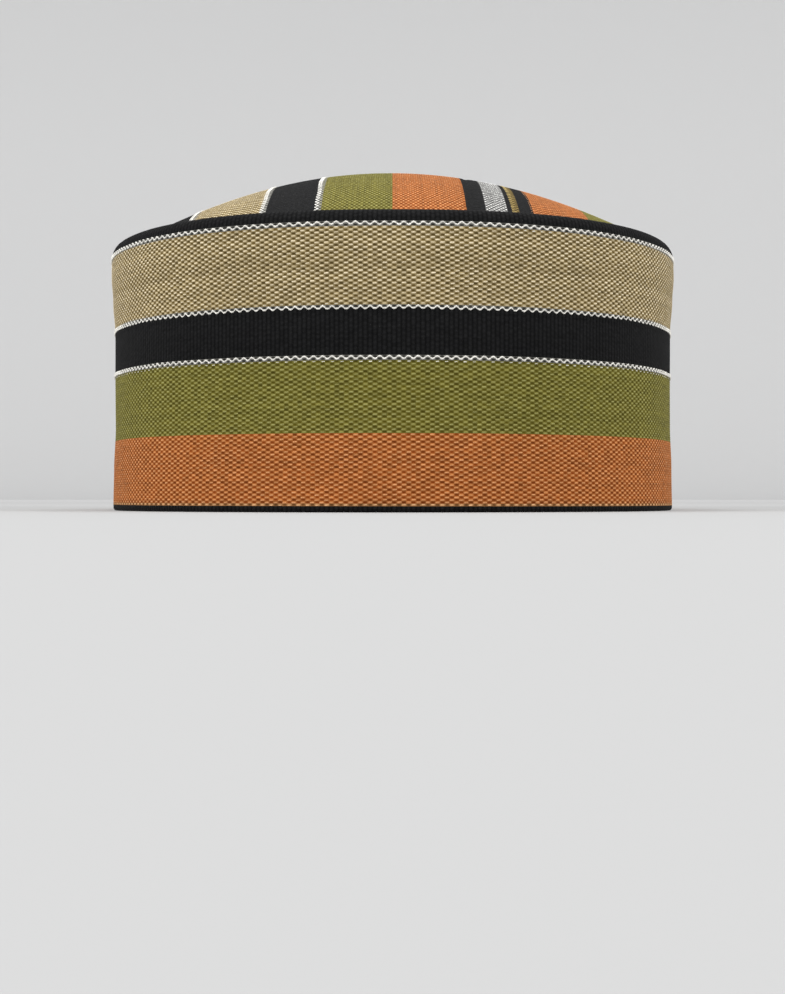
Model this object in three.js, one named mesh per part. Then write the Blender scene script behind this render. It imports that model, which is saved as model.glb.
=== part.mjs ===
// Aso oke cap: a stiff round cap of striped woven cloth, with an upright band and a low domed crown.
// Millimetres, +Z up, the front of the cap faces -Y, and the hem stands on z = 0.
import * as THREE from "three";

// Driving dimensions
const CAP_WIDTH = 173; // outside, from side to side, at the widest turn of the band
const CAP_LENGTH = 207.6; // outside, from front to back
const PLAN_SQUARENESS = 2.3; // exponent of the plan outline, where 2 is an ellipse
const BAND_HEIGHT = 78.5; // hem to the top of the rolled shoulder
const BAND_WALL = 2.2; // cloth, stiffener and turned hem together
const WAIST_DEPTH = 1.2; // how far the band draws in below its widest turn
const FLAT_DEPTH = 0.8; // deepest of the soft flats pressed into the band
const HEM_ROUNDING = 0.5; // bevel of both edges of the hem
const SHOULDER_LIP = 2.2; // width of the rolled shoulder beyond the wall
const SHOULDER_DEPTH = 4; // height of the rolled edge inside the band
const SHOULDER_TURN = 0.7; // share of the shoulder's width that its outer turn takes
const CROWN_RISE = 25; // top of the shoulder to the top of the crown
const CROWN_FULLNESS = 2; // exponent of the crown's section, where more is a flatter top
const CROWN_WALL = 1.6; // cloth over its stiffener
const CROWN_SEAM_DROP = 0.8; // top of the shoulder to the crown's edge in the seam
const CROWN_ALLOWANCE = 3.2; // edge of the crown that is turned down below the seam
const LINING_WALL = 1;
const LINING_STEP = 0.9; // hem to the lower edge of the lining
const SEWN_GAP = 0.3; // clearance between pieces that are sewn together

// Fineness of the facets
const STEPS_AROUND = 64;
const TURN_STEPS = 4;
const CROWN_RINGS = 9;

// How the wall leans in: up is a share of the band's height, in is a share of the waist's depth.
const WALL_SHAPE = [
  { up: 0, in: 0.45 },
  { up: 0.16, in: 0.6 },
  { up: 0.32, in: 1 },
  { up: 0.68, in: 0.95 },
  { up: 0.8, in: 0.4 },
  { up: 0.89, in: 0 },
  { up: 1, in: 0.2 },
];

// Soft flats round the band: at and span are degrees, counted from the right side, 270 is the front.
const FLATS = [
  { at: 246, span: 38, depth: 1 },
  { at: 301, span: 44, depth: 0.55 },
  { at: 72, span: 70, depth: 0.8 },
];

// Where the pieces meet
const seamInset = BAND_WALL + SHOULDER_LIP;
const crownInset = seamInset + SEWN_GAP;
const crownEdge = BAND_HEIGHT - CROWN_SEAM_DROP;
const crownTop = BAND_HEIGHT + CROWN_RISE;
const liningInset = BAND_WALL + SEWN_GAP;
const lipBottom = BAND_HEIGHT - SHOULDER_DEPTH;
const allowanceEnd = crownEdge - CROWN_ALLOWANCE;
const liningTop = Math.min(lipBottom, allowanceEnd) - SEWN_GAP;

function waistAt(height) {
  const up = THREE.MathUtils.clamp(height / BAND_HEIGHT, 0, 1);
  const above = Math.max(1, WALL_SHAPE.findIndex((row) => row.up >= up));
  const low = WALL_SHAPE[above - 1];
  const high = WALL_SHAPE[above];
  const along = THREE.MathUtils.smoothstep(up, low.up, high.up);
  return WAIST_DEPTH * THREE.MathUtils.lerp(low.in, high.in, along);
}

function flatAt(angle, height) {
  const up = THREE.MathUtils.clamp(height / BAND_HEIGHT, 0, 1);
  const press = FLATS.reduce((sum, row) => {
    const away = Math.abs(THREE.MathUtils.radToDeg(angle) - row.at);
    const near = 1 - THREE.MathUtils.smoothstep(away, 0, row.span / 2);
    return sum + row.depth * near;
  }, 0);
  return FLAT_DEPTH * press * Math.sin(Math.PI * up);
}

// A ring of the cap, inset from the outline that the cap has at that height.
function wallRing(inset, height) {
  const lean = inset + waistAt(height);
  return {
    halfWidth: CAP_WIDTH / 2 - lean,
    halfLength: CAP_LENGTH / 2 - lean,
    squareness: PLAN_SQUARENESS,
    height,
  };
}

function ringPoint(ring, angle) {
  const across = Math.abs(Math.cos(angle) / ring.halfWidth) ** ring.squareness;
  const along = Math.abs(Math.sin(angle) / ring.halfLength) ** ring.squareness;
  const reach = (across + along) ** (-1 / ring.squareness) - flatAt(angle, ring.height);
  return [reach * Math.cos(angle), reach * Math.sin(angle), ring.height];
}

// Skins a section that runs up the outside of the cap and down its inside, or from pole to pole.
function skin(rings, poles = []) {
  const positions = rings.flatMap((ring) =>
    Array.from({ length: STEPS_AROUND }, (_, step) =>
      ringPoint(ring, (2 * Math.PI * step) / STEPS_AROUND),
    ),
  );
  const at = (ring, step) => (ring % rings.length) * STEPS_AROUND + (step % STEPS_AROUND);
  const faces = [];
  const bands = poles.length ? rings.length - 1 : rings.length;
  for (let ring = 0; ring < bands; ring++) {
    for (let step = 0; step < STEPS_AROUND; step++) {
      faces.push(at(ring, step), at(ring, step + 1), at(ring + 1, step + 1));
      faces.push(at(ring, step), at(ring + 1, step + 1), at(ring + 1, step));
    }
  }
  if (poles.length) {
    const [startPole, endPole] = [positions.length, positions.length + 1];
    const last = rings.length - 1;
    positions.push([0, 0, poles[0]], [0, 0, poles[1]]);
    for (let step = 0; step < STEPS_AROUND; step++) {
      faces.push(startPole, at(0, step + 1), at(0, step));
      faces.push(at(last, step), at(last, step + 1), endPole);
    }
  }
  const geometry = new THREE.BufferGeometry();
  geometry.setAttribute("position", new THREE.Float32BufferAttribute(positions.flat(), 3));
  geometry.setIndex(faces);
  geometry.computeVertexNormals();
  return geometry;
}

// A quarter turn of the section, as rings from one angle to another about a centre.
function turn(centreInset, centreHeight, radius, from, to) {
  return Array.from({ length: TURN_STEPS + 1 }, (_, step) => {
    const angle = THREE.MathUtils.lerp(from, to, step / TURN_STEPS);
    return wallRing(
      centreInset - radius * Math.cos(angle),
      centreHeight + radius * Math.sin(angle),
    );
  });
}

// Heights of the rings between two levels of the wall, one for each row of its shape.
function wallLevels(bottom, top) {
  const between = WALL_SHAPE.map((row) => row.up * BAND_HEIGHT);
  const middle = BAND_HEIGHT / 2;
  const inside = [...between, middle].filter((level) => level > bottom + 1 && level < top - 1);
  return [bottom, ...inside.sort((a, b) => a - b), top];
}

// The outer wall: a hem with bevelled edges, and a shoulder rolled in and down to the crown seam.
function bandGeometry() {
  const outerTurn = SHOULDER_TURN * seamInset;
  const innerTurn = seamInset - outerTurn;
  const outside = wallLevels(HEM_ROUNDING, BAND_HEIGHT - outerTurn);
  const inside = wallLevels(HEM_ROUNDING, lipBottom);
  return skin([
    wallRing(HEM_ROUNDING, 0),
    ...outside.slice(0, -1).map((level) => wallRing(0, level)),
    ...turn(outerTurn, BAND_HEIGHT - outerTurn, outerTurn, 0, Math.PI / 2),
    ...turn(outerTurn, BAND_HEIGHT - innerTurn, innerTurn, Math.PI / 2, Math.PI).slice(1),
    wallRing(seamInset, lipBottom),
    ...inside.reverse().map((level) => wallRing(BAND_WALL, level)),
    wallRing(BAND_WALL - HEM_ROUNDING, 0),
  ]);
}

// The domed top: its edge sits in the seam, and its allowance is turned down inside the band.
function crownGeometry() {
  const edge = wallRing(crownInset, crownEdge);
  const rise = crownTop - crownEdge;
  const meanHalf = (edge.halfWidth + edge.halfLength) / 2;
  const slopeAt = (out) => Math.atan((rise * CROWN_FULLNESS * out ** (CROWN_FULLNESS - 1)) / meanHalf);
  const cornerDrop = (CROWN_WALL * (1 - Math.sin(slopeAt(1)))) / Math.cos(slopeAt(1));
  const domeRing = (out, depth) => {
    const slope = slopeAt(out);
    return {
      halfWidth: edge.halfWidth * out - depth * Math.sin(slope),
      halfLength: edge.halfLength * out - depth * Math.sin(slope),
      squareness: THREE.MathUtils.lerp(2, PLAN_SQUARENESS, out ** 2),
      height: crownEdge + rise * (1 - out ** CROWN_FULLNESS) - depth * Math.cos(slope),
    };
  };
  const shares = Array.from({ length: CROWN_RINGS }, (_, ring) => (ring + 1) / CROWN_RINGS);
  return skin(
    [
      ...shares.slice(0, -1).map((out) => domeRing(out, CROWN_WALL)),
      wallRing(crownInset + CROWN_WALL, crownEdge - cornerDrop),
      wallRing(crownInset + CROWN_WALL, allowanceEnd),
      wallRing(crownInset, allowanceEnd),
      ...shares.reverse().map((out) => domeRing(out, 0)),
    ],
    [crownTop - CROWN_WALL, crownTop],
  );
}

// The plain lining: a thin wall inside the band, from just above the hem to below the crown's edge.
function liningGeometry() {
  const levels = wallLevels(LINING_STEP, liningTop);
  return skin([
    ...levels.map((level) => wallRing(liningInset, level)),
    ...levels.reverse().map((level) => wallRing(liningInset + LINING_WALL, level)),
  ]);
}

function piece(name, geometry, colour, roughness) {
  const material = new THREE.MeshStandardMaterial({ color: colour, roughness, metalness: 0 });
  const mesh = new THREE.Mesh(geometry, material);
  mesh.name = name;
  return mesh;
}

const cap = new THREE.Group();
cap.name = "aso_oke_cap";
cap.add(piece("band", bandGeometry(), 0x9a8a69, 0.85));
cap.add(piece("crown", crownGeometry(), 0x716b35, 0.85));
cap.add(piece("band_lining", liningGeometry(), 0x1c1c1c, 0.9));

export default cap;
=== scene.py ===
import math
import random

import bpy
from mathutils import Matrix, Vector, noise


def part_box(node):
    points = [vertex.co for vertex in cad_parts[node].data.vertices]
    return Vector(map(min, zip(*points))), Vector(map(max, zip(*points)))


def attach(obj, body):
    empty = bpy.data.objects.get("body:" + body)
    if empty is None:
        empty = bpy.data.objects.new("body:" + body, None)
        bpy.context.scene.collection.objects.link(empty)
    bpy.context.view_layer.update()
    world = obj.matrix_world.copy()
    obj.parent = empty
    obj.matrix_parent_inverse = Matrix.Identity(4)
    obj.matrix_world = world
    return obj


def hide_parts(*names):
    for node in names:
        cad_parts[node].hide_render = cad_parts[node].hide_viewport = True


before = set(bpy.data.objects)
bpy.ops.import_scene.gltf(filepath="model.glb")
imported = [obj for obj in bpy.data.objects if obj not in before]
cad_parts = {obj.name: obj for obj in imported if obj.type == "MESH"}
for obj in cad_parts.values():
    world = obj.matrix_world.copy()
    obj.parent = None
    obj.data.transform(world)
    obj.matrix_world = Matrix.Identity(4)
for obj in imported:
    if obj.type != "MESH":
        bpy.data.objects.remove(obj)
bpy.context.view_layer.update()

# An aso oke cap of striped strip-woven cloth: an upright band, a low domed crown and a black lining.
# Sizes are in millimetres until a mesh is made. The front of the cap faces -Y.

mm = 0.001
bandLow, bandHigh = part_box("band")
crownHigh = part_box("crown")[1]
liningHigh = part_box("band_lining")[1]
bpy.ops.object.select_all(action="DESELECT")

capShape = {
    "halfWidth": bandHigh[0] / mm,
    "halfLength": -bandLow[1] / mm,
    "height": bandHigh[2] / mm,
    "squareness": 2.3,  # exponent of the plan outline, 2 is an ellipse
    "waistDepth": 1.2,
    "flatDepth": 0.8,
    "rippleDepth": 0.25,  # soft unevenness of the cloth
    "ripplesAround": 2.6,
    "ripplesUp": 0.028,
    "gap": 0.3,  # between pieces that are sewn together
}
wallShape = [  # share of the height, share of the waist's depth
    (0, 0.45), (0.16, 0.6), (0.32, 1), (0.68, 0.95), (0.8, 0.4), (0.89, 0), (1, 0.2),
]
softFlats = [(246, 38, 1), (301, 44, 0.55), (72, 70, 0.8)]  # degrees from +X, span, share of the depth


def smooth(low, high, value):
    share = min(max((value - low) / (high - low), 0), 1)
    return share * share * (3 - 2 * share)


def waistAt(height):
    up = min(max(height / capShape["height"], 0), 1)
    for (lowUp, lowIn), (highUp, highIn) in zip(wallShape, wallShape[1:]):
        if up <= highUp:
            return capShape["waistDepth"] * (lowIn + (highIn - lowIn) * smooth(lowUp, highUp, up))
    return 0


def flatAt(angle, height):
    up = min(max(height / capShape["height"], 0), 1)
    degrees = math.degrees(angle) % 360
    press = sum(deep * (1 - smooth(0, span / 2, abs(degrees - at))) for at, span, deep in softFlats)
    return capShape["flatDepth"] * press * math.sin(math.pi * up)


def rippleAt(angle, height):
    around, up = capShape["ripplesAround"], capShape["ripplesUp"]
    place = Vector((math.cos(angle) * around, math.sin(angle) * around, height * up))
    return capShape["rippleDepth"] * (noise.noise(place) + 0.5 * noise.noise(place * 2.7))


def ovalReach(angle, halfWidth, halfLength, power):
    across = abs(math.cos(angle) / halfWidth) ** power
    along = abs(math.sin(angle) / halfLength) ** power
    return (across + along) ** (-1 / power)


def planPoint(angle, inset, height):
    lean = inset + waistAt(height)
    halfWidth, halfLength = capShape["halfWidth"] - lean, capShape["halfLength"] - lean
    reach = ovalReach(angle, halfWidth, halfLength, capShape["squareness"])
    reach += rippleAt(angle, height) - flatAt(angle, height)
    return Vector((reach * math.cos(angle), reach * math.sin(angle), height))


# Length round the band, from the seam at the back
seamAngle = math.pi / 2
turnSteps = 2400
girthHeight = 40
turnLengths = [0.0]
lastPoint = planPoint(seamAngle, 0, girthHeight)
for turnStep in range(1, turnSteps + 1):
    nextPoint = planPoint(seamAngle + 2 * math.pi * turnStep / turnSteps, 0, girthHeight)
    turnLengths.append(turnLengths[-1] + (nextPoint - lastPoint).length)
    lastPoint = nextPoint
girth = turnLengths[-1]


def aroundAt(angle):
    share = ((angle - seamAngle) % (2 * math.pi)) / (2 * math.pi) * turnSteps
    low = min(int(share), turnSteps - 1)
    return turnLengths[low] + (turnLengths[low + 1] - turnLengths[low]) * (share - low)


def angleAt(around):
    low, high = 0, turnSteps
    while high - low > 1:
        middle = (low + high) // 2
        low, high = (middle, high) if turnLengths[middle] <= around else (low, middle)
    part = (around - turnLengths[low]) / (turnLengths[high] - turnLengths[low])
    return seamAngle + 2 * math.pi * (low + part) / turnSteps


print("cap: girth", round(girth), "mm")


# Cloth: one weave for the whole cap. Along is the way the warp runs, across counts the warp ends.
clothWeave = {
    "weftPitch": girth / (2 * round(girth / 2.48)),  # near 1.24, an even number of picks closes the round
    "warpPitch": 0.65,
    "wander": 0.05,  # how far the threads stray
    "relief": 0.16,
    "toneLow": 0.7,  # tone of the darkest crossing, and how much lighter others are
    "toneSpread": 0.6,
    "ribLow": 0.5,  # painted shade, the same from the valley to the top of a black rib
    "ribSpread": 0.8,
    "halfLight": 0.3,  # painted light on the ground beside a float: 0 is as light as its yarn, 1 as dark as the gaps
}
warp, weft = clothWeave["warpPitch"], clothWeave["weftPitch"]

yarns = {  # linear colours of the lit float
    "khaki": (0.61, 0.53, 0.39),
    "green": (0.238, 0.227, 0.087),
    "orange": (0.49, 0.236, 0.108),
    "white": (0.62, 0.605, 0.56),
    "tan": (0.58, 0.34, 0.18),
    "black": (0.0058, 0.0058, 0.006),
    "gold": (0.46, 0.36, 0.15),
    "speckle": (0.84, 0.83, 0.80),
}
gapWeftAndShade = {  # the dark weft and painted shade in the gaps of the weave, as a share of the yarn's colour
    "khaki": (0.108, 0.08, 0.028),
    "green": (0.22, 0.19, 0.042),
    "orange": (0.27, 0.11, 0.025),
    "white": (0.03, 0.03, 0.028),
    "tan": (0.15, 0.1, 0.05),
    "black": (1.0, 1.0, 1.0),
    "gold": (0.04, 0.03, 0.015),
    "speckle": (0.03, 0.03, 0.03),
}
clothFinish = {
    "groundRoughness": 0.95,
    "yarnRoughness": 0.85,
    "sheen": 0.012,
    "sheenRoughness": 0.5,
    "shine": 0.035,
    "fibreScale": 2600,  # twist of the plies, in turns for each metre
    "fibreRelief": 0.05,
}
cotton = {  # plain and fine, for the lining and the backs of the pieces
    "colour": (0.016, 0.016, 0.017),
    "weftPitch": 0.42,
    "warpPitch": 0.38,
    "roughness": 0.94,
    "sheen": 0.12,
    "relief": 0.05,
}


def mathNode(tree, operation, *values):
    node = tree.nodes.new("ShaderNodeMath")
    node.operation = operation
    for socket, value in zip(node.inputs, values):
        if isinstance(value, bpy.types.NodeSocket):
            tree.links.new(value, socket)
        else:
            socket.default_value = value
    return node.outputs[0]


def mixNode(tree, factor, first, second, blend="MIX"):
    node = tree.nodes.new("ShaderNodeMix")
    node.data_type = "RGBA"
    node.blend_type = blend
    for name, value in (("Factor_Float", factor), ("A_Color", first), ("B_Color", second)):
        socket = next(s for s in node.inputs if s.identifier == name)
        if isinstance(value, bpy.types.NodeSocket):
            tree.links.new(value, socket)
        else:
            socket.default_value = (*value, 1) if isinstance(value, tuple) else value
    return next(s for s in node.outputs if s.identifier == "Result_Color")


def noiseNode(tree, vector, scale, detail=2.0):
    node = tree.nodes.new("ShaderNodeTexNoise")
    node.inputs["Scale"].default_value = scale
    node.inputs["Detail"].default_value = detail
    tree.links.new(vector, node.inputs["Vector"])
    return node.outputs["Fac"]


def vectorNode(tree, *values):
    node = tree.nodes.new("ShaderNodeCombineXYZ")
    for socket, value in zip(node.inputs, values):
        if isinstance(value, bpy.types.NodeSocket):
            tree.links.new(value, socket)
        else:
            socket.default_value = value
    return node.outputs[0]


def shadeColour(tree, colour, shade):
    return mixNode(tree, 1.0, vectorNode(tree, shade, shade, shade), colour, "MULTIPLY")


def bumpNode(tree, height, strength, distance):
    node = tree.nodes.new("ShaderNodeBump")
    node.inputs["Strength"].default_value = strength
    node.inputs["Distance"].default_value = distance * mm
    tree.links.new(height, node.inputs["Height"])
    return node.outputs["Normal"]


def newGroup(name, inputs, outputs):
    group = bpy.data.node_groups.new(name, "ShaderNodeTree")
    for socketName, kind, value in inputs:
        socket = group.interface.new_socket(name=socketName, in_out="INPUT", socket_type=kind)
        if value is not None:
            socket.default_value = value
    for socketName, kind in outputs:
        group.interface.new_socket(name=socketName, in_out="OUTPUT", socket_type=kind)
    return group, group.nodes.new("NodeGroupInput").outputs, group.nodes.new("NodeGroupOutput").inputs


def weaveGroup():
    group, given, result = newGroup(
        "plainWeave",
        [
            ("Cloth", "NodeSocketVector", None),
            ("Weft Pitch", "NodeSocketFloat", weft),
            ("Warp Pitch", "NodeSocketFloat", warp),
            ("Wander", "NodeSocketFloat", clothWeave["wander"]),
        ],
        [
            ("Float", "NodeSocketFloat"),
            ("Rib", "NodeSocketFloat"),
            ("Height", "NodeSocketFloat"),
            ("Tone", "NodeSocketFloat"),
            ("End", "NodeSocketFloat"),
        ],
    )
    split = group.nodes.new("ShaderNodeSeparateXYZ")
    group.links.new(given["Cloth"], split.inputs[0])
    along, across = split.outputs[0], split.outputs[1]

    def scaled(alongScale, acrossScale):
        scaledAlong = mathNode(group, "MULTIPLY", along, alongScale)
        return vectorNode(group, scaledAlong, mathNode(group, "MULTIPLY", across, acrossScale))

    sway = mathNode(group, "SUBTRACT", noiseNode(group, scaled(0.05, 0.25), 1.0), 0.5)
    jog = mathNode(group, "SUBTRACT", noiseNode(group, scaled(0.6, 0.12), 1.0, 1.0), 0.5)
    swayed = mathNode(group, "MULTIPLY_ADD", sway, given["Wander"], across)
    jogged = mathNode(group, "MULTIPLY_ADD", jog, mathNode(group, "MULTIPLY", given["Wander"], 4.0), along)
    pick = mathNode(group, "DIVIDE", jogged, given["Weft Pitch"])
    end = mathNode(group, "DIVIDE", swayed, given["Warp Pitch"])
    pickWave = mathNode(group, "SINE", mathNode(group, "MULTIPLY", pick, math.pi))
    endWave = mathNode(group, "SINE", mathNode(group, "MULTIPLY", end, math.pi))
    overUnder = mathNode(group, "MULTIPLY", pickWave, endWave)  # 1 on a warp float, -1 under the weft
    rib = mathNode(group, "ABSOLUTE", pickWave)
    lit = group.nodes.new("ShaderNodeMapRange")
    lit.interpolation_type = "SMOOTHSTEP"
    lit.inputs["From Min"].default_value = -0.8
    lit.inputs["From Max"].default_value = 0.7
    group.links.new(overUnder, lit.inputs["Value"])
    endPlace = mathNode(group, "FLOOR", end)
    pickPlace = mathNode(group, "FLOOR", pick)
    chance = group.nodes.new("ShaderNodeTexWhiteNoise")
    chance.noise_dimensions = "2D"
    group.links.new(vectorNode(group, pickPlace, endPlace), chance.inputs["Vector"])
    endChance = group.nodes.new("ShaderNodeTexWhiteNoise")
    endChance.noise_dimensions = "1D"
    group.links.new(endPlace, endChance.inputs["W"])
    endTone = mathNode(group, "MULTIPLY", endChance.outputs["Value"], 0.3)
    tone = mathNode(group, "MULTIPLY_ADD", chance.outputs["Value"], 0.7, endTone)
    height = mathNode(group, "MULTIPLY_ADD", rib, 0.7, mathNode(group, "MULTIPLY", overUnder, 0.3))
    endMiddle = mathNode(group, "MULTIPLY", mathNode(group, "ADD", endPlace, 0.5), given["Warp Pitch"])
    group.links.new(lit.outputs["Result"], result["Float"])
    group.links.new(rib, result["Rib"])
    group.links.new(height, result["Height"])
    group.links.new(tone, result["Tone"])
    group.links.new(endMiddle, result["End"])
    return group


weave = weaveGroup()


def newMaterial(name, roughness, sheen):
    made = bpy.data.materials.new(name)
    made.use_nodes = True
    shader = made.node_tree.nodes["Principled BSDF"]
    shader.inputs["Roughness"].default_value = roughness
    shader.inputs["Specular IOR Level"].default_value = clothFinish["shine"]
    shader.inputs["Sheen Weight"].default_value = sheen
    shader.inputs["Sheen Roughness"].default_value = clothFinish["sheenRoughness"]
    return made, made.node_tree, shader


def placeWeave(tree):
    cloth = tree.nodes.new("ShaderNodeUVMap")
    cloth.uv_map = "cloth"
    woven = tree.nodes.new("ShaderNodeGroup")
    woven.node_tree = weave
    tree.links.new(cloth.outputs["UV"], woven.inputs["Cloth"])
    return woven


def stripeRamp(tree, across, stripes, start, colourOf):
    ramp = tree.nodes.new("ShaderNodeValToRGB")
    ramp.color_ramp.interpolation = "CONSTANT"
    total = sum(ends for _, ends in stripes)
    place = 0
    for index, (yarn, ends) in enumerate(stripes):
        stop = ramp.color_ramp.elements[index] if index < 2 else ramp.color_ramp.elements.new(1)
        stop.position = place / total
        stop.color = (*colourOf(yarn), 1)
        place += ends
    fromStart = mathNode(tree, "SUBTRACT", across, start * warp)
    tree.links.new(mathNode(tree, "DIVIDE", fromStart, total * warp), ramp.inputs["Fac"])
    return ramp.outputs["Color"]


# The ground of the striped cloth, under the raised floats. Stripes are (yarn, warp ends) from start on.
def stripedCloth(name, stripes, start=0):
    made, tree, shader = newMaterial(name, clothFinish["groundRoughness"], clothFinish["sheen"])
    woven = placeWeave(tree)
    across, rib = woven.outputs["End"], woven.outputs["Rib"]
    toneLow, toneSpread = clothWeave["toneLow"], clothWeave["toneSpread"]
    ribLow, ribSpread = clothWeave["ribLow"], clothWeave["ribSpread"]
    halfLight = clothWeave["halfLight"]
    halfShades = {yarn: tuple(share**halfLight for share in gapWeftAndShade[yarn]) for yarn in gapWeftAndShade}
    colour = stripeRamp(tree, across, stripes, start, lambda yarn: yarns[yarn])
    shade = stripeRamp(tree, across, stripes, start, lambda yarn: gapWeftAndShade[yarn])
    halfLit = stripeRamp(tree, across, stripes, start, lambda yarn: halfShades[yarn])
    ribbed = stripeRamp(tree, across, stripes, start, lambda yarn: (float(yarn == "black"),) * 3)
    tone = mathNode(tree, "MULTIPLY_ADD", woven.outputs["Tone"], toneSpread, toneLow)
    # painted shade: the ground is darkest in the gaps of the weave, over its dark weft, and half lit
    # beside the floats
    shadeHere = mixNode(tree, woven.outputs["Float"], shade, halfLit)
    clothColour = shadeColour(tree, mixNode(tree, 1.0, colour, shadeHere, "MULTIPLY"), tone)
    # painted shade: a black rib is darker in its valley and lighter on its top
    ribShade = mathNode(tree, "MULTIPLY_ADD", rib, ribSpread, ribLow)
    ribColour = shadeColour(tree, colour, mathNode(tree, "MULTIPLY", tone, ribShade))
    isRibbed = mathNode(tree, "GREATER_THAN", ribbed, 0.5)  # black cloth shows its ribs with painted shade and a bump, and no floats
    roughness = mathNode(tree, "MULTIPLY_ADD", rib, -0.1, clothFinish["groundRoughness"])
    normal = bumpNode(tree, woven.outputs["Height"], 0.9, clothWeave["relief"])
    tree.links.new(mixNode(tree, isRibbed, clothColour, ribColour), shader.inputs["Base Color"])
    tree.links.new(roughness, shader.inputs["Roughness"])
    tree.links.new(normal, shader.inputs["Normal"])
    return made


# A raised yarn, with its own tone for each float and the fine twist of its plies
def yarnMaterial(name, colour):
    made, tree, shader = newMaterial(name, clothFinish["yarnRoughness"], clothFinish["sheen"])
    place = tree.nodes.new("ShaderNodeTexCoord").outputs["Object"]
    fibre = noiseNode(tree, place, clothFinish["fibreScale"], 3.0)
    fibreTone = mathNode(tree, "MULTIPLY_ADD", fibre, 0.5, 0.75)
    tone = tree.nodes.new("ShaderNodeAttribute")
    tone.attribute_name = "tone"
    shade = mathNode(tree, "MULTIPLY", fibreTone, tone.outputs["Fac"])
    tree.links.new(shadeColour(tree, colour, shade), shader.inputs["Base Color"])
    tree.links.new(bumpNode(tree, fibre, 0.5, clothFinish["fibreRelief"]), shader.inputs["Normal"])
    return made


def plainCotton(name):
    made, tree, shader = newMaterial(name, cotton["roughness"], cotton["sheen"])
    woven = placeWeave(tree)
    woven.inputs["Weft Pitch"].default_value = cotton["weftPitch"]
    woven.inputs["Warp Pitch"].default_value = cotton["warpPitch"]
    # painted shade: the cotton is darker where its threads cross and lighter on the floats
    shade = mathNode(tree, "MULTIPLY_ADD", woven.outputs["Float"], 0.6, 0.55)
    tree.links.new(shadeColour(tree, cotton["colour"], shade), shader.inputs["Base Color"])
    tree.links.new(bumpNode(tree, woven.outputs["Height"], 0.6, cotton["relief"]), shader.inputs["Normal"])
    return made


blackCotton = plainCotton("blackCotton")
print("cloth: weave and yarns")


# Spins a section of rows (radius, height, length up the cloth, side) round Z.
# Length and side are kept as attributes. An open section starts and ends on the axis.
def spinSection(name, section, steps, openOnAxis=False):
    bpy.ops.mesh.primitive_circle_add(vertices=len(section), radius=1, location=(0, 0, 0))
    piece = bpy.context.object
    piece.name = piece.data.name = name
    for vertex, (radius, height, _, _) in zip(piece.data.vertices, section):
        vertex.co = (radius * mm, 0, height * mm)
    for label, column in (("up", 2), ("side", 3)):
        kept = piece.data.attributes.new(label, "FLOAT", "POINT")
        kept.data.foreach_set("value", [row[column] for row in section])
    bpy.ops.object.mode_set(mode="EDIT")
    if openOnAxis:
        bpy.ops.mesh.select_mode(type="EDGE")
        bpy.ops.mesh.select_all(action="DESELECT")
        bpy.ops.object.mode_set(mode="OBJECT")
        for edge in piece.data.edges:
            edge.select = set(edge.vertices) == {0, len(section) - 1}
        bpy.ops.object.mode_set(mode="EDIT")
        bpy.ops.mesh.delete(type="EDGE")
    bpy.ops.mesh.select_mode(type="VERT")
    bpy.ops.mesh.select_all(action="SELECT")
    bpy.ops.mesh.spin(steps=steps, angle=2 * math.pi, center=(0, 0, 0), axis=(0, 0, 1))
    bpy.ops.mesh.select_all(action="SELECT")
    bpy.ops.mesh.remove_doubles(threshold=1e-6)
    bpy.ops.mesh.normals_make_consistent(inside=False)
    bpy.ops.object.mode_set(mode="OBJECT")
    return piece


def valuesOf(piece, label):
    values = [0.0] * len(piece.data.vertices)
    piece.data.attributes[label].data.foreach_get("value", values)
    return values


# Writes the cloth map in mm. placeOf gives (along, across) of a vertex, near the middle of its face.
def layCloth(piece, placeOf):
    clothMap = piece.data.uv_layers.new(name="cloth")
    piece.data.uv_layers.active = clothMap
    vertices = piece.data.vertices
    for face in piece.data.polygons:
        middle = vertices[face.vertices[0]].co + vertices[face.vertices[-2]].co
        for loop in face.loop_indices:
            clothMap.data[loop].uv = placeOf(piece.data.loops[loop].vertex_index, middle)


def finishPiece(piece, materials, slotName, *nodes):
    for made in materials:
        piece.data.materials.append(made)
    piece.data.polygons.foreach_set("use_smooth", [True] * len(piece.data.polygons))
    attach(piece, "root")
    if nodes:
        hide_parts(*nodes)
    piece.select_set(False)


# Points of a round turn as (inset, height, length along it)
def turnPoints(centreInset, centreHeight, radius, start, end, steps):
    for step in range(steps + 1):
        angle = start + (end - start) * step / steps
        inset = centreInset - radius * math.cos(angle)
        yield inset, centreHeight + radius * math.sin(angle), abs(angle - start) * radius


# Band
bandSizes = {
    "wall": 2.2,
    "shoulderWidth": 4.4,  # the wall and the lip that rolls in to the crown seam
    "shoulderTurn": 0.7,  # share of that width
    "shoulderDepth": 4.0,
    "hemRound": 0.9,
    "ringStep": 1.6,
    "innerRings": 10,
    "around": 400,
    "seamDepth": 0.5,  # groove of the seam at the back
    "seamWidth": 1.1,
}
bandStripes = [  # yarn and warp ends, from the hem up
    ("black", 3), ("tan", 1), ("orange", 28), ("green", 29), ("white", 2), ("black", 18),
    ("white", 2), ("khaki", 31), ("white", 2), ("black", 26),
]


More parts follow.
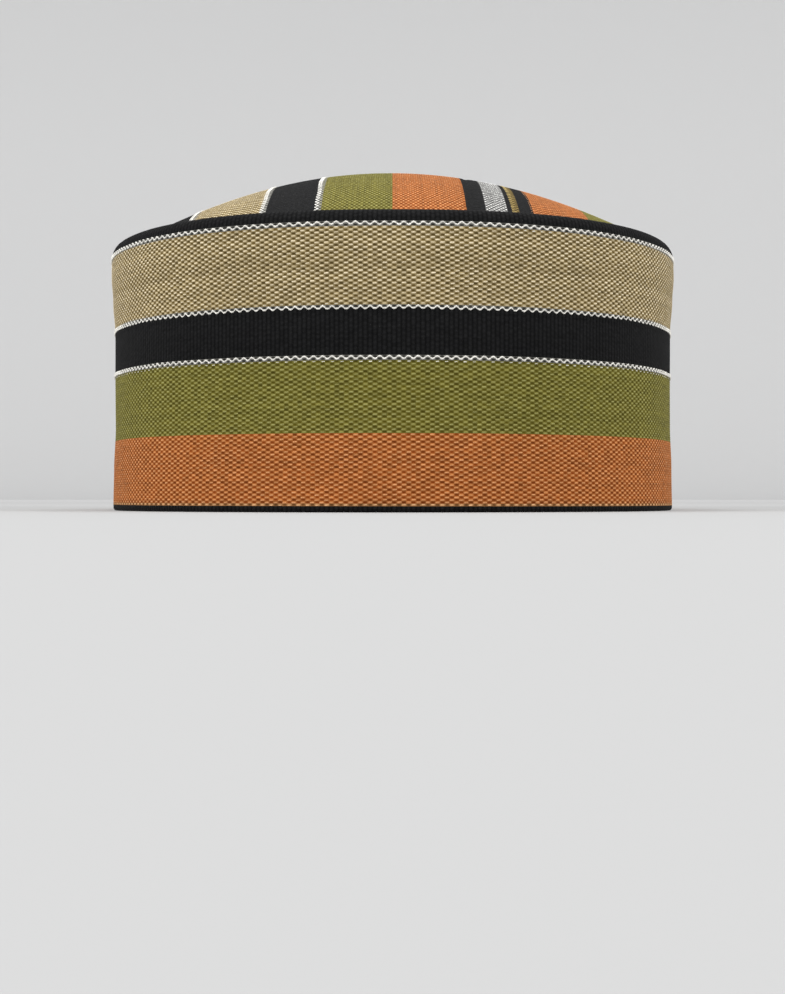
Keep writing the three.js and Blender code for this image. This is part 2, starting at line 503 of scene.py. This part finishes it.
def bandSection():
    height, width = capShape["height"], bandSizes["shoulderWidth"]
    outer = bandSizes["shoulderTurn"] * width
    inner = width - outer
    hem = bandSizes["hemRound"]
    wallTop = height - outer
    rows = [(inset, up, up, 0) for inset, up, _ in turnPoints(hem, hem, hem, -math.pi / 2, 0, 4)]
    rings = round((wallTop - hem) / bandSizes["ringStep"])
    levels = [hem + (wallTop - hem) * ring / rings for ring in range(1, rings)]
    rows += [(0, level, level, 0) for level in levels]
    shoulder = turnPoints(outer, wallTop, outer, 0, math.pi / 2, 8)
    rows += [(inset, up, wallTop + length, 0) for inset, up, length in shoulder]
    topLength = wallTop + outer * math.pi / 2
    lip = list(turnPoints(outer, height - inner, inner, math.pi / 2, math.pi, 5))[1:]
    rows += [(inset, up, topLength + length, 0) for inset, up, length in lip]
    lipBottom = height - bandSizes["shoulderDepth"]
    wall, rings = bandSizes["wall"], bandSizes["innerRings"]
    rows += [(width, lipBottom, 0, 1), (wall, lipBottom, 0, 1)]
    rows += [(wall, lipBottom + (hem - lipBottom) * ring / rings, 0, 1) for ring in range(1, rings + 1)]
    rows += [(wall - hem, 0, 0, 1)]
    return [(capShape["halfWidth"] - inset, up, length, side) for inset, up, length, side in rows]


# Groove of the seam that closes the band at the back
def backSeam(angle):
    around = aroundAt(angle)
    away = min(around, girth - around)
    return bandSizes["seamDepth"] * math.exp(-((away / bandSizes["seamWidth"]) ** 2))


# Eases a piece that was spun round to the plan of the cap, and gives each vertex its angle
def shapeWall(piece, groove=None):
    angles = []
    for vertex in piece.data.vertices:
        inset = capShape["halfWidth"] - math.hypot(vertex.co.x, vertex.co.y) / mm
        angle = math.atan2(vertex.co.y, vertex.co.x) % (2 * math.pi)
        if groove:
            inset += groove(angle)
        vertex.co = planPoint(angle, inset, vertex.co.z / mm) * mm
        angles.append(angle)
    return angles


# Place on the wall's cloth. Slip is how far a warp end climbs in one turn, so that the rounds join.
def wallCloth(angles, ups, slip):
    def placeOf(index, middle):
        around = aroundAt(angles[index])
        middleAround = aroundAt(math.atan2(middle.y, middle.x))
        if abs(around - middleAround) > girth / 2:
            around += girth if around < middleAround else -girth
        return around, ups[index] + slip * around / girth
    return placeOf


def makeBand():
    piece = spinSection("woven_band", bandSection(), bandSizes["around"])
    ups, sides = valuesOf(piece, "up"), valuesOf(piece, "side")
    layCloth(piece, wallCloth(shapeWall(piece, backSeam), ups, warp))
    finishPiece(piece, [stripedCloth("bandCloth", bandStripes), blackCotton], "striped_cloth", "band")
    for face in piece.data.polygons:
        face.material_index = 1 if sum(sides[i] for i in face.vertices) >= 3 else 0
    return piece


band = makeBand()
print("band:", len(band.data.polygons), "faces")


# Lining
liningSizes = {
    "wall": 1.0,
    "inset": bandSizes["wall"] + capShape["gap"],
    "step": 0.9,  # from the hem up to its lower edge
    "rings": 20,
    "around": 200,
}


def makeLining():
    inset, wall = liningSizes["inset"], liningSizes["wall"]
    bottom, top, rings = liningSizes["step"], liningHigh[2] / mm, liningSizes["rings"]
    levels = [bottom + (top - bottom) * ring / rings for ring in range(rings + 1)]
    outside = [(inset, level) for level in levels]
    inside = [(inset + wall, level) for level in reversed(levels)]
    section = [(capShape["halfWidth"] - depth, level, level, 0) for depth, level in outside + inside]
    piece = spinSection("cotton_lining", section, liningSizes["around"])
    ups = valuesOf(piece, "up")
    layCloth(piece, wallCloth(shapeWall(piece), ups, 0))
    finishPiece(piece, [blackCotton], "black_lining", "band_lining")
    return piece


lining = makeLining()
print("lining:", len(lining.data.polygons), "faces")


# Crown
crownSizes = {
    "inset": bandSizes["shoulderWidth"] + capShape["gap"],
    "seamDrop": 0.8,
    "wall": 1.6,
    "wallDrop": 1.12,  # drop of the inner face, in walls, because the dome slopes
    "allowance": 3.2,
    "rings": 60,
    "innerRings": 14,
    "around": 300,
    "pucker": 0.35,  # gathers of the cloth just inside the seam
    "puckersAround": 9,
    "puckerReach": 9.0,
    "unevenness": 0.25,
    "unevenScale": 0.022,
    "joinAt": 21.5,  # where two strips of the cloth are sewn side by side
    "joinDepth": 0.3,
    "joinWidth": 0.7,
    "wovenTo": 0.985,  # share of the way out to the seam where floats and cords stop
    "picks": 80,  # picks of the weave before and behind the middle, an even number
}
crownStart = -148  # warp ends left of the middle
crownStripes = [  # yarn and warp ends, from left to right seen from the front
    ("black", 61), ("white", 2), ("khaki", 30), ("white", 2), ("black", 21), ("white", 2), ("green", 30),
    ("orange", 29), ("black", 9), ("speckle", 9), ("black", 1), ("gold", 3), ("black", 6), ("orange", 26),
    ("green", 29), ("black", 36),
]
crownEdge = capShape["halfWidth"] - crownSizes["inset"]
crownFoot = capShape["height"] - crownSizes["seamDrop"]
crownRise = crownHigh[2] / mm - crownFoot


def crownSection():
    wall, foot = crownSizes["wall"], crownFoot - crownSizes["allowance"]
    rings, innerRings = crownSizes["rings"], crownSizes["innerRings"]
    drop = wall * crownSizes["wallDrop"]
    rows = []
    for ring in range(innerRings + 1):
        out = ring / innerRings * (1 - wall / crownEdge)
        rows.append((crownEdge * out, crownFoot + crownRise * (1 - out * out) - drop, 0, 1))
    rows += [(crownEdge - wall, foot, 0, 1), (crownEdge, foot, 0, 0)]
    for ring in range(rings, -1, -1):
        out = ring / rings
        rows.append((crownEdge * out, crownFoot + crownRise * (1 - out * out), 0, 0))
    return rows


def crownReach(out, angle):
    lean = crownSizes["inset"] + waistAt(crownFoot)
    power = 2 + (capShape["squareness"] - 2) * out * out
    reach = ovalReach(angle, capShape["halfWidth"] - lean, capShape["halfLength"] - lean, power)
    return reach + (rippleAt(angle, crownFoot) - flatAt(angle, crownFoot)) * out


# Moves a point of the round crown to the oval plan, and gathers the cloth along the seam
def crownPoint(out, angle, height):
    reach = crownReach(out, angle) * out
    x, y = reach * math.cos(angle), reach * math.sin(angle)
    puckers, scale = crownSizes["puckersAround"], crownSizes["unevenScale"]
    gather = noise.noise(Vector((math.cos(angle) * puckers, math.sin(angle) * puckers, 3.1)))
    fromJoin = (x - crownSizes["joinAt"]) / crownSizes["joinWidth"]
    lift = crownSizes["pucker"] * gather * math.exp((out - 1) * crownEdge / crownSizes["puckerReach"])
    lift += crownSizes["unevenness"] * noise.noise(Vector((x * scale, y * scale, 7.7)))
    lift -= crownSizes["joinDepth"] * math.exp(-(fromJoin**2))
    return Vector((x, y, height + lift))


def makeCrown():
    piece = spinSection("domed_crown", crownSection(), crownSizes["around"], openOnAxis=True)
    sides = valuesOf(piece, "side")
    vertices = piece.data.vertices
    for vertex in vertices:
        out = math.hypot(vertex.co.x, vertex.co.y) / mm / crownEdge
        vertex.co = crownPoint(out, math.atan2(vertex.co.y, vertex.co.x), vertex.co.z / mm) * mm
    layCloth(piece, lambda index, middle: (vertices[index].co.y / mm, vertices[index].co.x / mm))
    cloth = stripedCloth("crownCloth", crownStripes, crownStart)
    finishPiece(piece, [cloth, blackCotton], "striped_cloth_crown", "crown")
    for face in piece.data.polygons:
        face.material_index = 1 if sum(sides[i] for i in face.vertices) >= 2 else 0
    return piece


crown = makeCrown()
print("crown:", len(crown.data.polygons), "faces")


# Floats: where a warp end passes over a pick it stands out of the cloth, and each colour is one mesh
floatSizes = {
    "length": 1.8,
    "width": 0.94,
    "thickness": 0.5,
    "dive": 0.2,  # how far the ends of a float go down into the cloth
    "lift": 0.03,
    "liftPlay": 0.02,  # each play is how far one float may differ from the next
    "slant": 0.07,
    "slantPlay": 0.04,
    "unevenness": 0.1,
    "tones": (0.86, 1.1),
    "drift": 0.22,  # how far the rows wander over the cloth
    "driftAlong": 1.6,  # how much further they wander along the warp
}
floatShapes = {  # shares of a float's length, width and thickness
    "band": (1, 1, 1),
    "tan": (0.8, 0.8, 1),
    "innerWhite": (0.78, 0.72, 1),
    "crown": (0.72, 0.95, 0.85),
    "speckle": (0.68, 0.75, 1),
    "gold": (1.1, 0.8, 1),
}
speckleShare = 0.74  # the other floats of the speckled stripe stay black
goldSizes = {"rows": 36, "pitch": 2.7, "turn": 62}  # rows each way from the middle, degrees from the warp


def modelFloat():
    lying = (0, math.pi / 2, 0)
    bpy.ops.mesh.primitive_uv_sphere_add(segments=4, ring_count=3, radius=0.5, rotation=lying)
    piece = bpy.context.object
    bpy.ops.object.transform_apply(location=False, rotation=True, scale=False)
    bpy.ops.object.mode_set(mode="EDIT")
    bpy.ops.mesh.select_all(action="SELECT")
    bpy.ops.transform.resize(value=[floatSizes[side] for side in ("length", "width", "thickness")])
    bpy.ops.object.mode_set(mode="OBJECT")
    for vertex in piece.data.vertices:
        vertex.select = abs(vertex.co.x) > 0.45 * floatSizes["length"]
    bpy.ops.object.mode_set(mode="EDIT")
    bpy.ops.transform.translate(value=(0, 0, -floatSizes["dive"]))
    bpy.ops.object.mode_set(mode="OBJECT")
    corners = [vertex.co.copy() for vertex in piece.data.vertices]
    faces = [list(face.vertices) for face in piece.data.polygons]
    bpy.data.objects.remove(piece)
    return corners, faces


floatCorners, floatFaces = modelFloat()


# Places are (point, along, outwards) in mm. The mesh is built from the modelled float's own corners.
def layYarn(name, yarn, places, slotName, shape):
    points, faces, tones = [], [], []
    uneven, slantPlay, liftPlay = (floatSizes[play] for play in ("unevenness", "slantPlay", "liftPlay"))
    for point, along, outwards in places:
        across = outwards.cross(along)
        slant = floatSizes["slant"] + random.uniform(-slantPlay, slantPlay)
        along = (along + across * slant).normalized()
        across = outwards.cross(along)
        long = along * shape[0]
        wide = across * shape[1] * random.uniform(1 - uneven, 1 + uneven)
        high = outwards * shape[2]
        centre = point + outwards * (floatSizes["lift"] + random.uniform(-liftPlay, liftPlay))
        tone = random.uniform(*floatSizes["tones"])
        first = len(points)
        for corner in floatCorners:
            points.append((centre + long * corner.x + wide * corner.y + high * corner.z) * mm)
            tones.append(tone)
        faces += [[first + i for i in face] for face in floatFaces]
    mesh = bpy.data.meshes.new(name)
    mesh.from_pydata(points, [], faces)
    mesh.attributes.new("tone", "FLOAT", "POINT").data.foreach_set("value", tones)
    piece = bpy.data.objects.new(name, mesh)
    bpy.context.collection.objects.link(piece)
    finishPiece(piece, [yarnMaterial(name + "Yarn", yarns[yarn])], slotName)
    print(name + ":", len(faces) // len(floatFaces), "floats")


# A point on the face of the band, the way round it and the way out of it
def wallPlace(around, up):
    angle = angleAt(around)
    groove = backSeam(angle)
    point = planPoint(angle, groove, up)
    ahead = (planPoint(angle + 0.004, groove, up) - point).normalized()
    above = (planPoint(angle, groove, up + 0.5) - point).normalized()
    return point, ahead, ahead.cross(above).normalized()


# Where a thread really runs, a little off its place in a perfect weave
def drifted(along, across):
    drift = floatSizes["drift"]
    alongDrift = noise.noise(Vector((along * 0.05, across * 0.09, 1.7)))
    acrossDrift = noise.noise(Vector((along * 0.06, across * 0.05, 5.2)))
    return along + drift * floatSizes["driftAlong"] * alongDrift, across + drift * acrossDrift


# Places of the floats of one warp end on the band, from the back seam round to it again
def wallFloats(end):
    seamGap = 0.1
    for pick in range(end % 2, round(girth / weft), 2):
        around, up = drifted((pick + 0.5) * weft, (end + 0.5) * warp)
        around = min(max(around, seamGap), girth - seamGap)
        yield wallPlace(around, max(up - warp * around / girth, bandSizes["hemRound"]))


# The warp ends of one yarn
def endsOf(yarn, stripes, start):
    found, end = [], start
    for name, ends in stripes:
        if name == yarn:
            found += range(end, end + ends)
        end += ends
    return found


# The point of the crown above (x, y), and its share of the way out, which takes a few rounds to find
def domeAt(x, y):
    angle, reach = math.atan2(y, x), math.hypot(x, y)
    out = 0.5
    for _ in range(4):
        out = reach / crownReach(out, angle)
    return crownPoint(out, angle, crownFoot + crownRise * (1 - out * out)), out


def domePlace(x, y, turn=0.0):
    point, out = domeAt(x, y)
    if out > crownSizes["wovenTo"]:
        return None
    sine, cosine = 0.3 * math.sin(turn), 0.3 * math.cos(turn)
    ahead = domeAt(x + sine, y + cosine)[0] - point
    aside = domeAt(x + cosine, y - sine)[0] - point
    return point, ahead.normalized(), aside.cross(ahead).normalized()


def crownFloats(end, keep=1.0):
    picks = crownSizes["picks"]
    for pick in range(-picks - end % 2, picks + 1, 2):
        along, across = drifted((pick + 0.5) * weft, (end + 0.5) * warp)
        place = domePlace(across, along)
        if place and random.random() < keep:
            yield place


# The gold stripe carries short slanting stitches along its middle
def goldStitches():
    across = (endsOf("gold", crownStripes, crownStart)[0] + 1.5) * warp
    for row in range(-goldSizes["rows"], goldSizes["rows"] + 1):
        place = domePlace(across, row * goldSizes["pitch"], math.radians(goldSizes["turn"]))
        if place:
            yield place


# White lines: two white ends lie so close that they look like one waved cord
cordSizes = {
    "radius": 0.25,
    "wave": 0.38,  # half of the height of the waves
    "lift": -0.02,
    "bob": 0.15,  # how far the cord rises at the turns of a wave
    "steps": 8,  # points in each wave
    "thicknessPlay": (0.94, 1.06),
    "wavePlay": (0.85, 1.1),
    "crownBob": 0.5,  # on the crown the cord rises less, lies lower and is a little thinner
    "crownLift": -0.07,
    "crownThickness": 0.95,
    "crownWaves": 40,  # before and behind the middle
}


# The two ends of each white line as (lower end, the way to the black cloth beside it)
def whiteLines(stripes, start):
    end = start
    for index, (name, ends) in enumerate(stripes):
        if name == "white":
            blackAbove = index + 1 < len(stripes) and stripes[index + 1][0] == "black"
            yield end, 1 if blackAbove else -1
        end += ends


# The first end of the colour beside a white line is white as well, and closes the loops of the waves
def innerWhiteEnds(stripes, start):
    return [end - 1 if away > 0 else end + 2 for end, away in whiteLines(stripes, start)]


# How far a waved cord is off its middle, up from the cloth, and its thickness, at a step of its wave
def waveAt(step):
    turn = 2 * math.pi * step / cordSizes["steps"]
    scallop = 0.5 * math.cos(turn) + abs(math.cos(turn / 2)) - 0.5  # round towards the black cloth
    bob = math.cos(2 * turn)
    return cordSizes["wave"] * scallop, cordSizes["lift"] + cordSizes["bob"] * bob, 0.9 + 0.12 * bob


def sweepCord(name, points, slotName, closed):
    bpy.ops.curve.primitive_bezier_curve_add(location=(0, 0, 0))
    piece = bpy.context.object
    piece.name = piece.data.name = name
    curve = piece.data
    curve.splines.clear()
    spline = curve.splines.new("POLY")
    spline.points.add(len(points) - 1)
    for knot, (point, thickness) in zip(spline.points, points):
        knot.co = (*(point * mm), 1)
        knot.radius = thickness * random.uniform(*cordSizes["thicknessPlay"])
    spline.use_cyclic_u = closed
    curve.dimensions = "3D"
    curve.bevel_depth = cordSizes["radius"] * mm
    curve.bevel_resolution = 1
    curve.use_fill_caps = not closed
    bpy.ops.object.convert(target="MESH")
    piece = bpy.context.object
    bpy.ops.object.mode_set(mode="EDIT")
    bpy.ops.mesh.select_all(action="SELECT")
    bpy.ops.mesh.remove_doubles(threshold=1e-6)
    bpy.ops.mesh.normals_make_consistent(inside=False)
    bpy.ops.object.mode_set(mode="OBJECT")
    tones = [0.92 + 0.3 * noise.noise(corner.co * 700) for corner in piece.data.vertices]
    piece.data.attributes.new("tone", "FLOAT", "POINT").data.foreach_set("value", tones)
    finishPiece(piece, [yarnMaterial(name + "Yarn", yarns["white"])], slotName)
    print(name + ":", len(piece.data.polygons), "faces")


# Where a cord's waves start, so that they turn over the floats of the end beside the black cloth
def waveStart(end, away):
    outerEnd = end + 1 if away > 0 else end
    return (outerEnd % 2 + 0.5) * weft


def bandCord(name, end, away):
    points, steps = [], cordSizes["steps"]
    for step in range(round(girth / weft) // 2 * steps):
        across, lift, thickness = waveAt(step)
        around = (waveStart(end, away) + 2 * weft * step / steps) % girth
        _, up = drifted(around, (end + 1) * warp)
        across *= random.uniform(*cordSizes["wavePlay"])
        point, _, outwards = wallPlace(around, up + away * across - warp * around / girth)
        points.append((point + outwards * lift, thickness))
    sweepCord(name, points, "striped_cloth", True)


def crownCord(name, end, away):
    points, steps, waves = [], cordSizes["steps"], cordSizes["crownWaves"]
    for step in range(-waves * steps, waves * steps):
        across, lift, thickness = waveAt(step)
        along = waveStart(end, away) + 2 * weft * step / steps
        _, middle = drifted(along, (end + 1) * warp)
        place = domePlace(middle + away * across, along)
        if place:
            point, _, outwards = place
            point = point + outwards * (lift * cordSizes["crownBob"] + cordSizes["crownLift"])
            points.append((point, thickness * cordSizes["crownThickness"]))
    sweepCord(name, points, "striped_cloth_crown", False)


random.seed(7)
innerEnds = innerWhiteEnds(bandStripes, 0)
for yarn in ("orange", "green", "khaki", "tan"):
    ends = [end for end in endsOf(yarn, bandStripes, 0) if end not in innerEnds]
    places = [place for end in ends for place in wallFloats(end)]
    shape = floatShapes["tan" if yarn == "tan" else "band"]
    layYarn("band_" + yarn + "_floats", yarn, places, "striped_cloth", shape)
for yarn in ("orange", "green", "khaki"):
    places = [place for end in endsOf(yarn, crownStripes, crownStart) for place in crownFloats(end)]
    layYarn("crown_" + yarn + "_floats", yarn, places, "striped_cloth_crown", floatShapes["crown"])
places = [place for end in innerEnds for place in wallFloats(end)]
layYarn("band_white_inner_floats", "white", places, "striped_cloth", floatShapes["innerWhite"])
for number, (end, away) in enumerate(whiteLines(bandStripes, 0), 1):
    bandCord("band_white_line_" + str(number), end, away)
for number, (end, away) in enumerate(whiteLines(crownStripes, crownStart), 1):
    crownCord("crown_white_line_" + str(number), end, away)
ends = endsOf("speckle", crownStripes, crownStart)
places = [place for end in ends for place in crownFloats(end, speckleShare)]
layYarn("crown_speckle_floats", "speckle", places, "striped_cloth_crown", floatShapes["speckle"])
layYarn("crown_gold_stitches", "gold", goldStitches(), "striped_cloth_crown", floatShapes["gold"])
print("floats: laid")


# Studio: a pale floor that curves up into a round backdrop, and soft lamps
studio = {
    "floorRadius": 2300,
    "coveRadius": 700,
    "wallHeight": 1500,
    "floorGrey": 0.27,
    "wallGrey": 0.565,
    "greyMiddle": (0, -900, 0),  # before the cap, between the side lamps
    "greyReach": (1300, 2900),  # from that point, where the floor's grey starts and ends to pale
    "glow": 0.15,  # the paper is lit from behind as well
    "skyColour": (0.98, 0.99, 1.0, 1),
    "skyStrength": 0.4,
}
lamps = {  # place, what it points at, size and watts
    "sideLeft": ((-1480, -930, 760), (0, 0, 60), (1000, 600), 37),
    "sideRight": ((1480, -930, 760), (0, 0, 60), (1000, 600), 33),
    "overhead": ((0, 100, 1700), (0, 0, 0), (1400, 1400), 31),
}


# Pale grey paper, darker below the lamps where it catches more light
def backdropPaper():
    made, tree, shader = newMaterial("paleGreyPaper", 0.95, 0.0)
    shader.inputs["Specular IOR Level"].default_value = 0.0
    reach = tree.nodes.new("ShaderNodeVectorMath")
    reach.operation = "DISTANCE"
    reach.inputs[1].default_value = [part * mm for part in studio["greyMiddle"]]
    tree.links.new(tree.nodes.new("ShaderNodeTexCoord").outputs["Object"], reach.inputs[0])
    pale = tree.nodes.new("ShaderNodeMapRange")
    pale.interpolation_type = "SMOOTHSTEP"
    pale.inputs["From Min"].default_value = studio["greyReach"][0] * mm
    pale.inputs["From Max"].default_value = studio["greyReach"][1] * mm
    tree.links.new(reach.outputs["Value"], pale.inputs["Value"])
    floorGrey, wallGrey = (studio["floorGrey"],) * 3, (studio["wallGrey"],) * 3
    tree.links.new(mixNode(tree, pale.outputs["Result"], floorGrey, wallGrey), shader.inputs["Base Color"])
    shader.inputs["Emission Color"].default_value = (1, 1, 1, 1)
    shader.inputs["Emission Strength"].default_value = studio["glow"]
    return made


def makeStudio():
    radius, cove = studio["floorRadius"], studio["coveRadius"]
    bpy.ops.mesh.primitive_circle_add(vertices=96, radius=radius * mm, fill_type="NGON")
    backdrop = bpy.context.object
    backdrop.name = "studio_backdrop"
    bpy.ops.object.mode_set(mode="EDIT")
    bpy.ops.mesh.select_all(action="SELECT")
    bpy.ops.mesh.select_mode(type="EDGE")
    bpy.ops.mesh.region_to_loop()
    reach, height = radius, 0.0
    turns = [math.radians(degrees) for degrees in range(6, 91, 6)]
    steps = [(radius + cove * math.sin(turn), cove * (1 - math.cos(turn))) for turn in turns]
    for nextReach, nextHeight in steps + [(radius + cove, studio["wallHeight"])]:
        rise = (0, 0, (nextHeight - height) * mm)
        bpy.ops.mesh.extrude_region_move(TRANSFORM_OT_translate={"value": rise})
        grow = nextReach / reach
        bpy.ops.transform.resize(value=(grow, grow, 1), center_override=(0, 0, 0))
        reach, height = nextReach, nextHeight
    bpy.ops.mesh.select_all(action="SELECT")
    bpy.ops.mesh.normals_make_consistent(inside=True)
    bpy.ops.object.mode_set(mode="OBJECT")
    walls = [face.index != 0 for face in backdrop.data.polygons]  # the first face is the flat floor
    backdrop.data.polygons.foreach_set("use_smooth", walls)
    backdrop.data.materials.append(backdropPaper())


def addLamp(name, place, target, size, power):
    bpy.ops.object.light_add(type="AREA", location=[v * mm for v in place])
    lamp = bpy.context.object
    lamp.name = name
    lamp.data.shape = "RECTANGLE"
    lamp.data.size, lamp.data.size_y = (side * mm for side in size)
    lamp.data.energy = power
    lamp.visible_camera = False
    aim = Vector([v * mm for v in target]) - lamp.location
    lamp.rotation_euler = aim.to_track_quat("-Z", "Y").to_euler()


makeStudio()
for lampName, lampSettings in lamps.items():
    addLamp(lampName, *lampSettings)
world = bpy.context.scene.world or bpy.data.worlds.new("studioWorld")
bpy.context.scene.world = world
world.use_nodes = True
sky = world.node_tree.nodes["Background"]
sky.inputs["Color"].default_value = studio["skyColour"]
sky.inputs["Strength"].default_value = studio["skyStrength"]
bpy.context.scene.view_settings.view_transform = "Standard"


# Camera: level, at the front, just above the floor that the cap stands on
cameraSizes = {
    "distance": 545,
    "height": 4,
    "capWidthPixels": 545,
    "framePixels": 994,
    "sensor": 36,
    "clip": (2, 50000),
}


def makeCamera():
    place = (0, -cameraSizes["distance"] * mm, cameraSizes["height"] * mm)
    bpy.ops.object.camera_add(location=place, rotation=(math.pi / 2, 0, 0))
    camera = bpy.context.object
    focalPixels = cameraSizes["capWidthPixels"] * cameraSizes["distance"] / (2 * capShape["halfWidth"])
    camera.data.sensor_width = cameraSizes["sensor"]
    camera.data.lens = cameraSizes["sensor"] * focalPixels / cameraSizes["framePixels"]
    camera.data.clip_start, camera.data.clip_end = (end * mm for end in cameraSizes["clip"])
    bpy.context.scene.camera = camera


makeCamera()
print("studio: lamps and camera")
